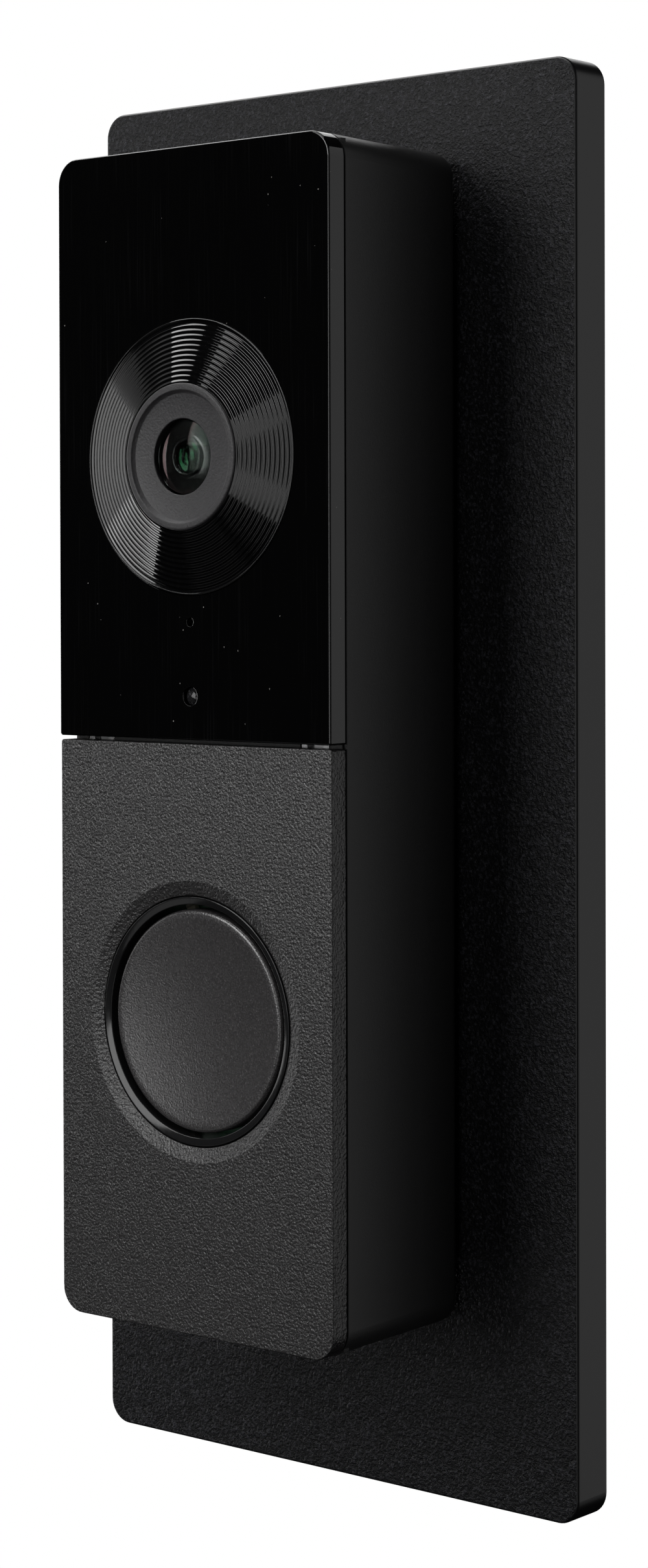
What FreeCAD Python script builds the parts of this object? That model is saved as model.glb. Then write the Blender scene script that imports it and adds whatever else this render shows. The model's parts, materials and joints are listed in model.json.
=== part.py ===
"""Wired video doorbell on a wall plate, as a parametric FreeCAD document.

The finished parts stand in one frame: +X to the right of a person facing the doorbell, +Y into the
wall, +Z up, with the origin at the centre of the wall plate's back face.  Each sub-part is drawn as a
front view, x to the right, y up and z out of the wall, and its Placement turns it to that frame.
"""
import FreeCAD, Part
import math
import os

import Sketcher
from FreeCAD import Placement, Rotation, Vector

SIZES = [
    ("plate_wide", 70.0, "wall plate, width"),
    ("plate_tall", 159.0, "wall plate, height"),
    ("plate_thick", 5.3, "wall plate, thickness"),
    ("plate_corner", 2.8, "wall plate, corner radius"),
    ("plate_edge", 0.35, "wall plate, radius of the front edge"),
    ("gasket_thick", 1.2, "foam gasket let into the plate's back"),
    ("bracket_wide", 33.0, "mounting bracket, width"),
    ("bracket_tall", 118.0, "mounting bracket, height"),
    ("bracket_thick", 1.1, "mounting bracket, which stands the doorbell off the plate"),
    ("wall_hole", 2.25, "radius of the plate's wall screw holes"),
    ("wall_hole_gap", 96.0, "distance between the wall screw holes"),
    ("cable_wide", 16.0, "cable opening, width"),
    ("cable_tall", 22.0, "cable opening, height"),
    ("body_wide", 40.0, "doorbell, width"),
    ("body_tall", 130.0, "doorbell, height"),
    ("body_deep", 22.3, "doorbell, depth"),
    ("body_up", 5.4, "doorbell centre above the plate's centre"),
    ("body_corner", 2.8, "doorbell, corner radius"),
    ("back_edge", 1.2, "rear housing, radius of the back edge"),
    ("body_draft", 0.9, "rear housing, draft in degrees"),
    ("shell", 2.0, "rear housing, wall thickness"),
    ("cover_deep", 2.4, "front covers, depth of their sides"),
    ("cover_skin", 1.4, "front covers, thickness of their faces"),
    ("cover_rim", 1.5, "front covers, thickness of their sides"),
    ("fascia_edge", 0.2, "upper fascia, radius around its face"),
    ("cover_edge", 0.15, "lower cover, radius around its face"),
    ("seam_corner", 0.3, "front covers, radius of their corners at the split"),
    ("cover_sink", 0.17, "how far the lower cover sits behind the fascia"),
    ("shadow", 0.3, "height of the shadow seam between covers and housing"),
    ("shadow_inset", 0.45, "how far the seam is let in"),
    ("split", 0.45, "gap between fascia and lower cover"),
    ("tub_deep", 1.8, "chassis, depth inside the housing"),
    ("play", 0.1, "clearance between parts that drop into each other"),
    ("camera_up", 31.1, "camera axis above the doorbell's centre"),
    ("trim_radius", 15.1, "grooved trim ring, outer radius"),
    ("trim_sink", 0.8, "grooved trim ring, depth of its seat"),
    ("bezel_radius", 8.07, "lens bezel, radius of its lip"),
    ("bezel_proud", 1.64, "lens bezel, height of its lip above the fascia"),
    ("bezel_face", 6.9, "lens bezel, radius of its flat face"),
    ("bezel_dip", 0.44, "lens bezel, depth of the face below the lip"),
    ("lens_hole", 4.15, "lens bezel, radius of its hole"),
    ("lens_radius", 4.05, "front lens, radius"),
    ("lens_rise", 1.1, "front lens, height of its dome"),
    ("lens_thick", 0.4, "front lens, thickness"),
    ("lens_sink", 1.0, "front lens, its edge behind the bezel's flat face"),
    ("lens_seat", 1.05, "lens retainer, its step behind the bezel's flat face"),
    ("groove_deep", 0.13, "grooved trim ring, depth of a groove"),
    ("button_down", 30.6, "button axis below the doorbell's centre"),
    ("dish_radius", 15.4, "lower cover, rim radius of the button's dish"),
    ("dish_hole", 13.8, "lower cover, radius of the button's hole"),
    ("dish_deep", 0.42, "lower cover, depth of the button's dish"),
    ("glow_outer", 13.65, "light ring, outer radius"),
    ("glow_inner", 12.8, "light ring, inner radius"),
    ("glow_sink", 0.34, "light ring, outer edge below the lower cover"),
    ("button_radius", 12.25, "button, radius"),
    ("button_sink", 0.74, "button, its rim below the lower cover"),
    ("button_rim", 0.45, "button, radius of its rim"),
    ("button_dip", 0.6, "button, depth of its dished face"),
    ("mic_up", 13.1, "microphone hole above the doorbell's centre"),
    ("mic_hole", 0.5, "microphone hole, radius"),
    ("sensor_up", 5.0, "light sensor above the doorbell's centre"),
    ("sensor_hole", 1.0, "light sensor's hole, radius"),
    ("board_thick", 1.2, "circuit boards, thickness"),
    ("terminal_down", 32.0, "terminal block below the doorbell's centre"),
]
GROOVES = 12
SCREW_ROWS = (60.6, 0.0, -60.6)

doc = FreeCAD.newDocument("VideoDoorbell")
sheet = doc.addObject("Spreadsheet::Sheet", "Sizes")
parts = []


class Size:
    """A length with the sheet formula that it comes from, so that sums of sizes stay bound to the sheet."""

    def __init__(self, number, formula=None):
        self.number = float(number)
        self.formula = formula or repr(float(number))
        self.bound = formula is not None

    def combine(self, other, sign, swap=False):
        other = as_size(other)
        first, second = (other, self) if swap else (self, other)
        totals = {
            "+": lambda: first.number + second.number,
            "-": lambda: first.number - second.number,
            "*": lambda: first.number * second.number,
            "/": lambda: first.number / second.number,
        }
        formula = f"({first.formula} {sign} {second.formula})" if self.bound or other.bound else None
        return Size(totals[sign](), formula)

    def __add__(self, other):
        return self.combine(other, "+")

    def __radd__(self, other):
        return self.combine(other, "+", swap=True)

    def __sub__(self, other):
        return self.combine(other, "-")

    def __rsub__(self, other):
        return self.combine(other, "-", swap=True)

    def __mul__(self, other):
        return self.combine(other, "*")

    def __rmul__(self, other):
        return self.combine(other, "*", swap=True)

    def __truediv__(self, other):
        return self.combine(other, "/")

    def __neg__(self):
        return self.combine(-1, "*")


def as_size(value):
    return value if isinstance(value, Size) else Size(value)


def fill_sheet():
    """Write every driving dimension into the sheet and return them by name."""
    sizes = {}
    for row, (alias, number, meaning) in enumerate(SIZES, start=1):
        sheet.set(f"A{row}", meaning)
        sheet.set(f"B{row}", str(number))
        sheet.setAlias(f"B{row}", alias)
        sizes[alias] = Size(number, f"Sizes.{alias}")
    doc.recompute()
    return sizes


def bind(thing, field, value):
    """Set a field of an object, and bind it to the sheet where its size comes from there."""
    size = as_size(value)
    thing.setExpression(field, size.formula)


# ---- Part primitives, drawn in the front view ----------------------------------------------------

def put(primitive, x, up, out):
    bind(primitive, "Placement.Base.x", x)
    bind(primitive, "Placement.Base.y", up)
    bind(primitive, "Placement.Base.z", out)
    return primitive


def block(wide, tall, deep, x=0, up=0, out=0):
    """A box centred on x and up, from out towards the viewer."""
    box = doc.addObject("Part::Box", "Block")
    for field, value in (("Length", wide), ("Width", tall), ("Height", deep)):
        bind(box, field, value)
    return put(box, x - as_size(wide) / 2, up - as_size(tall) / 2, out)


def rod(radius, deep, x=0, up=0, out=0):
    """A cylinder along the viewing axis, from out towards the viewer."""
    cylinder = doc.addObject("Part::Cylinder", "Rod")
    bind(cylinder, "Radius", radius)
    bind(cylinder, "Height", deep)
    return put(cylinder, x, up, out)


def bar(radius, length, x=0, up=0, out=0, along="x"):
    """A cylinder lying across the front view: centred on x, or standing up from its low end."""
    cylinder = doc.addObject("Part::Cylinder", "Bar")
    bind(cylinder, "Radius", radius)
    bind(cylinder, "Height", length)
    if along == "x":
        cylinder.Placement.Rotation = Rotation(Vector(0, 1, 0), 90)
        return put(cylinder, x - as_size(length) / 2, up, out)
    cylinder.Placement.Rotation = Rotation(Vector(1, 0, 0), -90)
    return put(cylinder, x, up, out)


def cone(bottom_radius, top_radius, deep, x=0, up=0, out=0):
    """A truncated cone along the viewing axis."""
    shape = doc.addObject("Part::Cone", "Cone")
    bind(shape, "Radius1", bottom_radius)
    bind(shape, "Radius2", top_radius)
    bind(shape, "Height", deep)
    return put(shape, x, up, out)


def ball(radius, out):
    """A sphere on the viewing axis, its centre at a level."""
    sphere = doc.addObject("Part::Sphere", "Ball")
    bind(sphere, "Radius", radius)
    return put(sphere, 0, 0, out)


def cap_radius(rim, rise):
    """Radius of the sphere whose cap has a given rim radius and height."""
    return (rim * rim + rise * rise) / (2 * rise)


def fuse(*shapes):
    if len(shapes) == 1:
        return shapes[0]
    joined = doc.addObject("Part::MultiFuse", "Joined")
    joined.Shapes = list(shapes)
    return joined


def cut(base, *tools):
    result = doc.addObject("Part::Cut", "Cut")
    result.Base = base
    result.Tool = fuse(*tools)
    return result


def rounded(shape, radius, along=Vector(0, 0, 1)):
    """Round the straight edges that run along one direction."""
    doc.recompute()
    fillet = doc.addObject("Part::Fillet", "Rounded")
    fillet.Base = shape
    fillet.Edges = [
        (number, radius, radius)
        for number, edge in enumerate(shape.Shape.Edges, start=1)
        if is_straight(edge) and abs(abs(direction(edge).dot(along)) - 1) < 1e-3
    ]
    return fillet


def is_straight(edge):
    return isinstance(edge.Curve, (Part.Line, Part.LineSegment))


def direction(edge):
    first, last = edge.Vertexes[0].Point, edge.Vertexes[-1].Point
    return (last - first).normalize()


def pillow(wide, tall, deep, corner, x=0, up=0, out=0):
    """A box with its four standing edges rounded."""
    return rounded(block(wide, tall, deep, x, up, out), corner)


# ---- PartDesign bodies --------------------------------------------------------------------------

def new_body(name):
    return doc.addObject("PartDesign::Body", name)


def new_sketch(body, out=0, role="XY_Plane"):
    """A sketch on one of the body's origin planes, moved along that plane's normal."""
    sketch = body.newObject("Sketcher::SketchObject", body.Name + "Sketch")
    plane = next(f for f in body.Origin.OriginFeatures if f.Role == role)
    sketch.AttachmentSupport = [(plane, "")]
    sketch.MapMode = "FlatFace"
    bind(sketch, "AttachmentOffset.Base.z", out)
    return sketch


def constrain(sketch, kind, *where, value=None):
    if value is None:
        return sketch.addConstraint(Sketcher.Constraint(kind, *where))
    size = as_size(value)
    index = sketch.addConstraint(Sketcher.Constraint(kind, *where, size.number))
    if size.bound:
        sketch.setExpression(f"Constraints[{index}]", size.formula)
    return index


def polygon(sketch, corners):
    """A closed outline of straight lines, each corner held at its own distances from the origin."""
    corners = [(as_size(x), as_size(y)) for x, y in corners]
    points = [Vector(x.number, y.number, 0) for x, y in corners]
    following = points[1:] + points[:1]
    first = sketch.GeometryCount
    for start, end in zip(points, following):
        sketch.addGeometry(Part.LineSegment(start, end), False)
    count = len(points)
    for i in range(count):
        constrain(sketch, "Coincident", first + i, 2, first + (i + 1) % count, 1)
    for i, (x, y) in enumerate(corners):
        constrain(sketch, "DistanceX", -1, 1, first + i, 1, value=x)
        constrain(sketch, "DistanceY", -1, 1, first + i, 1, value=y)


def rectangle(sketch, wide, tall, x=0, up=0):
    half_wide, half_tall = as_size(wide) / 2, as_size(tall) / 2
    left, right, low, high = x - half_wide, x + half_wide, up - half_tall, up + half_tall
    polygon(sketch, [(left, low), (right, low), (right, high), (left, high)])


def pad(body, sketch, deep, inward=False, taper=None):
    feature = body.newObject("PartDesign::Pad", body.Name + "Pad")
    feature.Profile = sketch
    bind(feature, "Length", deep)
    feature.Reversed = inward
    if taper is not None:
        bind(feature, "TaperAngle", taper)
    doc.recompute()
    return feature


def pocket(body, sketch, deep, outward=False):
    """Cut from the sketch into the wall side, or outward; a pocket that cuts nothing is an error."""
    before = body.Shape.Volume
    feature = body.newObject("PartDesign::Pocket", body.Name + "Pocket")
    feature.Profile = sketch
    bind(feature, "Length", deep)
    feature.Reversed = outward
    doc.recompute()
    if not body.Shape.Volume < before - 1e-3:
        raise ValueError(f"a pocket of {body.Name} cuts nothing")
    return feature


def fillet(body, radius, wanted):
    """Round the edges of the body's last feature that the test picks."""
    base = body.Tip
    names = [f"Edge{n}" for n, edge in enumerate(base.Shape.Edges, start=1) if wanted(edge)]
    if not names:
        raise ValueError(f"no edge of {body.Name} to round")
    feature = body.newObject("PartDesign::Fillet", body.Name + "Fillet")
    feature.Base = (base, names)
    bind(feature, "Radius", radius)
    doc.recompute()
    return feature


def standing(edge):
    """Edges that run out of the wall, or nearly so on a drafted side."""
    return len(edge.Vertexes) == 2 and abs(direction(edge).z) > 0.9


def at_level(level):
    """Edges that lie in one plane parallel to the wall."""
    number = as_size(level).number
    return lambda edge: all(abs(v.Point.z - number) < 1e-4 for v in edge.Vertexes) and flat(edge, number)


def flat(edge, level):
    middle = edge.valueAt((edge.FirstParameter + edge.LastParameter) / 2)
    return abs(middle.z - level) < 1e-4


def turned(name, profile):
    """A body turned about its own viewing axis from a closed profile of (radius, out) corners."""
    body = new_body(name)
    sketch = new_sketch(body, role="XZ_Plane")
    polygon(sketch, profile)
    revolution = body.newObject("PartDesign::Revolution", name + "Turn")
    revolution.Profile = sketch
    revolution.ReferenceAxis = (sketch, ["V_Axis"])
    revolution.Angle = 360
    doc.recompute()
    return body


def plate_body(name, wide, tall, deep, corner, x=0, up=0, out=0):
    """A flat body with rounded corners, padded out of the wall from its own sketch."""
    body = new_body(name)
    sketch = new_sketch(body, out)
    rectangle(sketch, wide, tall, x, up)
    pad(body, sketch, deep)
    fillet(body, corner, standing)
    return body


def stand(shape, label, up=0, x=0, out=0):
    """Name a finished sub-part and stand it up in the doorbell's frame."""
    shape.Label = label
    shape.Placement = Placement(Vector(0, 0, 0), Rotation(Vector(1, 0, 0), 90))
    bind(shape, "Placement.Base.x", x)
    bind(shape, "Placement.Base.y", -as_size(out))
    bind(shape, "Placement.Base.z", up)
    parts.append(shape)
    return shape


size = fill_sheet()

# ---- levels out of the wall, and places on the doorbell ------------------------------------------

plate_front = size["plate_thick"]
body_back = plate_front + size["bracket_thick"]
body_front = body_back + size["body_deep"]
cover_back = body_front - size["cover_deep"]
housing_front = cover_back - size["shadow"]
lower_front = body_front - size["cover_sink"]
cavity_floor = body_back + size["shell"]
tub_back = housing_front - size["tub_deep"]
cover_hollow = body_front - size["cover_skin"]
bezel_lip = body_front + size["bezel_proud"]
bezel_flat = bezel_lip - size["bezel_dip"]
retainer_step = bezel_flat - size["lens_seat"]

body_up = size["body_up"]
camera_up = body_up + size["camera_up"]
button_up = body_up - size["button_down"]
terminal_up = body_up - size["terminal_down"]
cavity_wide = size["body_wide"] - 2 * size["shell"]
cavity_tall = size["body_tall"] - 2 * size["shell"]
half_tall = size["body_tall"] / 2
shell = size["shell"]
play = size["play"]
board = size["board_thick"]

BRACKET_SCREWS = [(x, up) for x in (-12, 12) for up in (40, -40)]
CHASSIS_SCREWS = [(x, up) for x in (-15.8, 15.8) for up in SCREW_ROWS]
CAMERA_EARS = [(-9.6, -9.6), (9.6, 9.6)]
BOARD_POSTS = [(x, up) for x in (-12, 12) for up in (20, -17, -45)]
HOOKS = (-9.5, 9.5)
HOOK_UP = 49.0
TAB_UP = -60.5
IR_UP = 55.0
MAIN_BOARD_UP = 13.0
POWER_BOARD_UP = -34.5
MAIN_BOARD_OUT = 11.0
CAMERA_BOARD_OUT = 13.4
EARS_OUT = 18.4
SPEAKER_OUT = 18.6
SENSOR_BOARD_OUT = 21.4
BUTTON_BOARD_OUT = 21.6
COIL_X, CAPACITOR_X, COIL_UP = -8.5, 7.0, -27
TERMINALS = (-3.9, 3.9)
PILOT = 0.75
GASKET_OUTER_INSET, GASKET_INNER_INSET = 5, 11
SEAL_OUTER_INSET, SEAL_INNER_INSET = 1.3, 3.1
SEAL_DEEP = 0.8


# ---- wall side ----------------------------------------------------------------------------------

def make_wall_plate():
    """Plate with two rows of lightening pockets and a gasket groove in its back, and its holes."""
    body = plate_body("WallPlate", size["plate_wide"], size["plate_tall"], size["plate_thick"],
                      size["plate_corner"])
    fillet(body, size["plate_edge"], at_level(plate_front))
    groove = new_sketch(body, 0)
    rectangle(groove, size["plate_wide"] - GASKET_OUTER_INSET, size["plate_tall"] - GASKET_OUTER_INSET)
    rectangle(groove, size["plate_wide"] - GASKET_INNER_INSET, size["plate_tall"] - GASKET_INNER_INSET)
    pocket(body, groove, size["gasket_thick"], outward=True)
    pockets = [
        pillow(9, 12, 3.0, 1.0, x=side * 23, up=row * 15.0)
        for side in (-1, 1)
        for row in range(-4, 5)
    ]
    holes = []
    for side in (-0.5, 0.5):
        up = size["wall_hole_gap"] * side
        holes.append(rod(size["wall_hole"], size["plate_thick"] + 2, up=up, out=-1))
        holes.append(rod(4.5, 4, up=up, out=plate_front - 2.6))
    for x, up in BRACKET_SCREWS:
        holes.append(rod(1.35, 5, x, body_up + up, plate_front - 4.3))
    cable = pillow(size["cable_wide"], size["cable_tall"], size["plate_thick"] + 2, 3, up=terminal_up, out=-1)
    stand(cut(body, cable, *pockets, *holes), "wall_plate")


def make_wall_gasket():
    thick = size["gasket_thick"]
    wide, tall = size["plate_wide"], size["plate_tall"]
    outer = block(wide - GASKET_OUTER_INSET, tall - GASKET_OUTER_INSET, thick)
    inner = block(wide - GASKET_INNER_INSET, tall - GASKET_INNER_INSET, thick + 2, out=-1)
    stand(cut(outer, inner), "wall_gasket")


def make_bracket():
    """Pressed steel bracket: two upward hooks near its top and a bent tab at its bottom for the screw."""
    thick = size["bracket_thick"]
    body = plate_body("Bracket", size["bracket_wide"], size["bracket_tall"], thick, 3.0, out=plate_front)
    hooks = []
    for x in HOOKS:
        hooks.append(block(4, 1.6, 4.6, x, HOOK_UP, body_back - 0.2))
        hooks.append(block(4, 3.4, 1.2, x, HOOK_UP + 0.9, body_back + 3.2))
    bent_tab = block(7, 1.4, 6.2, up=TAB_UP, out=plate_front)
    neck = block(7, 5, thick, up=TAB_UP + 1.8, out=plate_front)
    holes = [cone(1.5, 2.7, thick, x, up, plate_front) for x, up in BRACKET_SCREWS]
    holes += [rod(1.5, 3, x, up, plate_front - 1) for x, up in BRACKET_SCREWS]
    for side in (-0.5, 0.5):
        holes.append(rod(5, 3, up=size["wall_hole_gap"] * side - body_up, out=plate_front - 1))
    holes.append(pillow(size["cable_wide"], size["cable_tall"], 4, 3, up=-size["terminal_down"],
                        out=plate_front - 1))
    holes.append(bar(1.25, 4, up=TAB_UP - 2, out=body_back + 2.6, along="up"))
    stand(cut(fuse(body, *hooks, bent_tab, neck), *holes), "mounting_bracket", up=body_up)


def make_bracket_screws():
    """Four countersunk screws with cross recesses."""
    thick = size["bracket_thick"]
    solids, recesses = [], []
    for x, up in BRACKET_SCREWS:
        solids.append(cone(1.45, 2.6, thick - 0.05, x, up, plate_front))
        solids.append(rod(1.3, 4.2, x, up, plate_front - 4.1))
        recesses += cross_recess(x, up, body_back - 0.85, 2.6)
    stand(cut(fuse(*solids), *recesses), "bracket_screws", up=body_up)


def cross_recess(x, up, out, wide):
    """The two slots of a cross drive, open towards the viewer."""
    return [block(wide, 0.6, 1.5, x, up, out), block(0.6, wide, 1.5, x, up, out)]


def make_security_screw():
    """Screw up through the housing's bottom wall into the bracket's tab."""
    out = body_back + 2.6
    low = -half_tall
    head = bar(1.8, 1.1, up=low + 0.1, out=out, along="up")
    shank = bar(1.15, 4.4, up=low + 1.2, out=out, along="up")
    drive = block(0.7, 0.6, 2.6, up=low + 0.3, out=out - 1.3)
    cross = block(2.6, 0.6, 0.7, up=low + 0.3, out=out - 0.35)
    stand(cut(fuse(head, shank), drive, cross), "security_screw", up=body_up)


# ---- casing -------------------------------------------------------------------------------------

def seal_ring(deep):
    """Square ring in the housing's rim, from the foot of its groove towards the viewer."""
    wide, tall = size["body_wide"], size["body_tall"]
    foot = housing_front - SEAL_DEEP
    outer = block(wide - SEAL_OUTER_INSET, tall - SEAL_OUTER_INSET, deep, out=foot)
    inner = block(wide - SEAL_INNER_INSET, tall - SEAL_INNER_INSET, 4, out=foot - 1)
    return cut(outer, inner)


def make_rear_housing():
    """Drafted tub with screw bosses, dry pockets over the bracket's hooks and tab, and sound slots."""
    body = new_body("RearHousing")
    outline = new_sketch(body, housing_front)
    rectangle(outline, size["body_wide"], size["body_tall"])
    pad(body, outline, housing_front - body_back, inward=True, taper=-size["body_draft"])
    fillet(body, size["body_corner"], standing)
    fillet(body, size["back_edge"], at_level(body_back))
    cavity = new_sketch(body, housing_front)
    rectangle(cavity, cavity_wide, cavity_tall)
    pocket(body, cavity, housing_front - cavity_floor)

    bosses = [rod(2.5, tub_back - cavity_floor, x, up, cavity_floor) for x, up in CHASSIS_SCREWS]
    bosses += [block(7, 8, 5.6, x, HOOK_UP + 1, cavity_floor - 0.1) for x in HOOKS]
    bosses.append(block(11, 6.2, 5.2, up=TAB_UP + 0.2, out=cavity_floor - 0.1))
    bosses += [rod(1.8, MAIN_BOARD_OUT - cavity_floor, x, up, cavity_floor) for x, up in BOARD_POSTS]
    solid = fuse(body, *bosses)

    holes = [rod(1.05, 9, x, up, tub_back - 8.5) for x, up in CHASSIS_SCREWS]
    holes += [rod(PILOT, MAIN_BOARD_OUT - cavity_floor + 0.5, x, up, cavity_floor) for x, up in BOARD_POSTS]
    for x in HOOKS:
        holes.append(block(5, 6.2, 6.1, x, HOOK_UP + 1, body_back - 0.5))
    holes.append(block(8, 2.4, 6.3, up=TAB_UP, out=body_back - 0.5))
    holes.append(bar(1.25, 5, up=-half_tall - 0.5, out=body_back + 2.6, along="up"))
    holes.append(bar(1.95, 1.7, up=-half_tall - 0.5, out=body_back + 2.6, along="up"))
    holes.append(pillow(17, 11, 4, 1, up=-size["terminal_down"], out=body_back - 1))
    for step in range(-4, 5):
        holes.append(block(0.9, 4, 6.4, step * 1.9, -half_tall + 0.5, SPEAKER_OUT - 3.2))
    holes.append(seal_ring(2))
    stand(cut(solid, *holes), "rear_housing", up=body_up)


def make_housing_seal():
    """Silicone ring in the housing's rim, under the chassis flange."""
    stand(seal_ring(SEAL_DEEP), "housing_seal", up=body_up)


def make_chassis():
    """Frame that closes the housing: a tub inside it and a thin flange that shows as the shadow seam."""
    inset = 2 * size["shadow_inset"]
    body = plate_body("Chassis", size["body_wide"] - inset, size["body_tall"] - inset, size["shadow"],
                      size["body_corner"] - size["shadow_inset"], out=housing_front)
    tub = block(cavity_wide - 2 * play, cavity_tall - 2 * play, size["tub_deep"], out=tub_back)
    ears = [rod(2.2, 4.2, x, size["camera_up"] + up, tub_back - 4.2) for x, up in CAMERA_EARS]
    board_front = BUTTON_BOARD_OUT + board
    posts = [rod(1.6, tub_back - board_front, x, -size["button_down"] + up, board_front)
             for x, up in BUTTON_POSTS]
    solid = fuse(body, tub, *ears, *posts)
    holes = [rod(8.7, 6, up=size["camera_up"], out=tub_back - 2)]
    holes.append(rod(14.0, 6, up=-size["button_down"], out=tub_back - 1))
    holes.append(rod(1.3, 6, up=size["mic_up"], out=tub_back - 2))
    holes.append(rod(1.4, 6, up=size["sensor_up"], out=tub_back - 2))
    holes.append(pillow(20, 7, 6, 1, up=IR_UP, out=tub_back - 2))
    holes += [rod(1.15, 6, x, up, tub_back - 2) for x, up in CHASSIS_SCREWS]
    holes += [rod(2.05, 2, x, up, cover_back - 1.3) for x, up in CHASSIS_SCREWS]
    holes += [rod(PILOT, 4, x, size["camera_up"] + up, tub_back - 4.2) for x, up in CAMERA_EARS]
    stand(cut(solid, *holes), "chassis_frame", up=body_up)


def make_chassis_screws():
    solids, recesses = [], []
    for x, up in CHASSIS_SCREWS:
        solids.append(rod(1.9, 1.2, x, up, cover_back - 1.25))
        solids.append(rod(1.0, 7.5, x, up, cover_back - 1.25 - 7.5))
        recesses += cross_recess(x, up, cover_back - 0.75, 2.2)
    stand(cut(fuse(*solids), *recesses), "chassis_screws", up=body_up)


def cover_body(name, up, front, corner_test):
    """Shallow tray for the upper or the lower half of the front, open at its back."""
    tall = half_tall - size["split"] / 2
    body = new_body(name)
    outline = new_sketch(body, cover_back)
    rectangle(outline, size["body_wide"], tall, up=up)
    pad(body, outline, front - cover_back)
    fillet(body, size["body_corner"], lambda edge: standing(edge) and corner_test(edge.CenterOfMass.y))
    fillet(body, size["seam_corner"], lambda edge: standing(edge) and abs(edge.CenterOfMass.y) < 1)
    hollow = new_sketch(body, cover_back)
    rectangle(hollow, size["body_wide"] - 2 * size["cover_rim"], tall - 2 * size["cover_rim"], up=up)
    pocket(body, hollow, cover_hollow - cover_back - (body_front - front), outward=True)
    return body


def make_upper_fascia():
    """Polished upper cover with the seat of the trim ring and two small holes below it."""
    body = cover_body("UpperFascia", (half_tall + size["split"] / 2) / 2, body_front, lambda y: y > 50)
    fillet(body, size["fascia_edge"], at_level(body_front))
    seat = rod(size["trim_radius"] + 0.05, 3, up=size["camera_up"], out=body_front - size["trim_sink"])
    bore = rod(9.0, 6, up=size["camera_up"], out=cover_back - 1)
    microphone = rod(size["mic_hole"], 6, up=size["mic_up"], out=cover_back - 1)
    sensor = rod(size["sensor_hole"] + 0.05, 6, up=size["sensor_up"], out=cover_back - 1)
    stand(cut(body, seat, bore, microphone, sensor), "upper_fascia", up=body_up)


def make_lower_cover():
    """Textured lower cover with the dish and the hole that the button sits in."""
    body = cover_body("LowerCover", -(half_tall + size["split"] / 2) / 2, lower_front, lambda y: y < -50)
    fillet(body, size["cover_edge"], at_level(lower_front))
    slope = (size["dish_radius"] - size["dish_hole"]) / size["dish_deep"]
    dish = cone(size["dish_hole"], size["dish_hole"] + slope * (size["dish_deep"] + 0.1),
                size["dish_deep"] + 0.1, up=-size["button_down"], out=lower_front - size["dish_deep"])
    bore = rod(size["dish_hole"], 6, up=-size["button_down"], out=cover_back - 1)
    stand(cut(body, dish, bore), "lower_cover", up=body_up)


# ---- camera -------------------------------------------------------------------------------------

def make_trim_ring():
    """Raised cone around the lens with concentric V grooves turned into its slope."""
    inner, outer = size["bezel_radius"] + 0.08, size["trim_radius"]
    foot = body_front - size["trim_sink"]
    crest = body_front + size["bezel_proud"] - 0.12
    profile = [(inner, foot), (outer, foot), (outer, body_front)]
    pitch = (outer - 0.25 - inner) / GROOVES
    for groove in range(GROOVES):
        for share, sunk in ((0.0, 0), (0.5, size["groove_deep"])):
            run = pitch * (groove + share)
            rise = (crest - body_front) * ((groove + share) / GROOVES)
            profile.append((outer - 0.25 - run, body_front + rise - sunk))
    profile.append((inner, crest))
    stand(turned("TrimRing", profile), "camera_trim_ring", up=camera_up)


def make_lens_bezel():
    """Matt ring with a raised lip and a flat face around the lens hole."""
    lip, face = bezel_lip, bezel_flat
    radius, hole = size["bezel_radius"], size["lens_hole"]
    profile = [
        (7.2, cover_back), (radius, cover_back), (radius, lip - 0.3), (radius - 0.3, lip),
        (size["bezel_face"] + 0.45, lip), (size["bezel_face"], face), (hole, face), (hole + 0.35, face - 0.9),
        (hole + 0.35, face - 1.2), (7.2, face - 1.2),
    ]
    stand(turned("LensBezel", profile), "lens_bezel", up=camera_up)


def dome(radius, rise, thick, out):
    """A meniscus of one thickness: the shell between two spheres, cut to a round edge."""
    curve = cap_radius(radius, rise)
    outer = ball(curve, out + rise - curve)
    inner = ball(curve - thick, out + rise - curve)
    rim = rod(radius, rise + 1, out=out)
    common = doc.addObject("Part::Common", "Cap")
    common.Base, common.Tool = cut(outer, inner), rim
    return common


def make_front_lens():
    lens = dome(size["lens_radius"], size["lens_rise"], size["lens_thick"], bezel_flat - size["lens_sink"])
    stand(lens, "front_lens", up=camera_up)


def make_lens_stack():
    """Retainer, inner lens and barrel, one behind the other on the camera's axis."""
    seat = retainer_step
    retainer = turned("Retainer", [
        (1.75, seat - 0.5), (4.1, seat - 0.5), (4.1, seat), (2.6, seat),
        (2.1, seat + 0.27), (1.85, seat + 0.23), (1.75, seat + 0.1)])
    stand(retainer, "lens_retainer", up=camera_up)
    rim = turned("LensRim", [(0.95, seat - 0.5), (1.7, seat - 0.5), (1.7, seat - 0.2), (1.2, seat - 0.05),
                             (0.95, seat - 0.05)])
    stand(fuse(dome(1.0, 0.3, 0.2, seat - 0.35), rim), "rear_lens", up=camera_up)
    barrel_back = body_front - 10.6
    barrel = turned("Barrel", [
        (3.2, barrel_back), (5.6, barrel_back), (5.6, seat - 3.4), (7.0, seat - 3.0), (7.0, seat - 1.8),
        (4.2, seat - 1.6), (4.2, seat - 0.5), (2.6, seat - 0.5), (2.2, seat - 1.0),
        (2.2, seat - 4), (3.2, seat - 6)])
    stand(barrel, "lens_barrel", up=camera_up)


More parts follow.
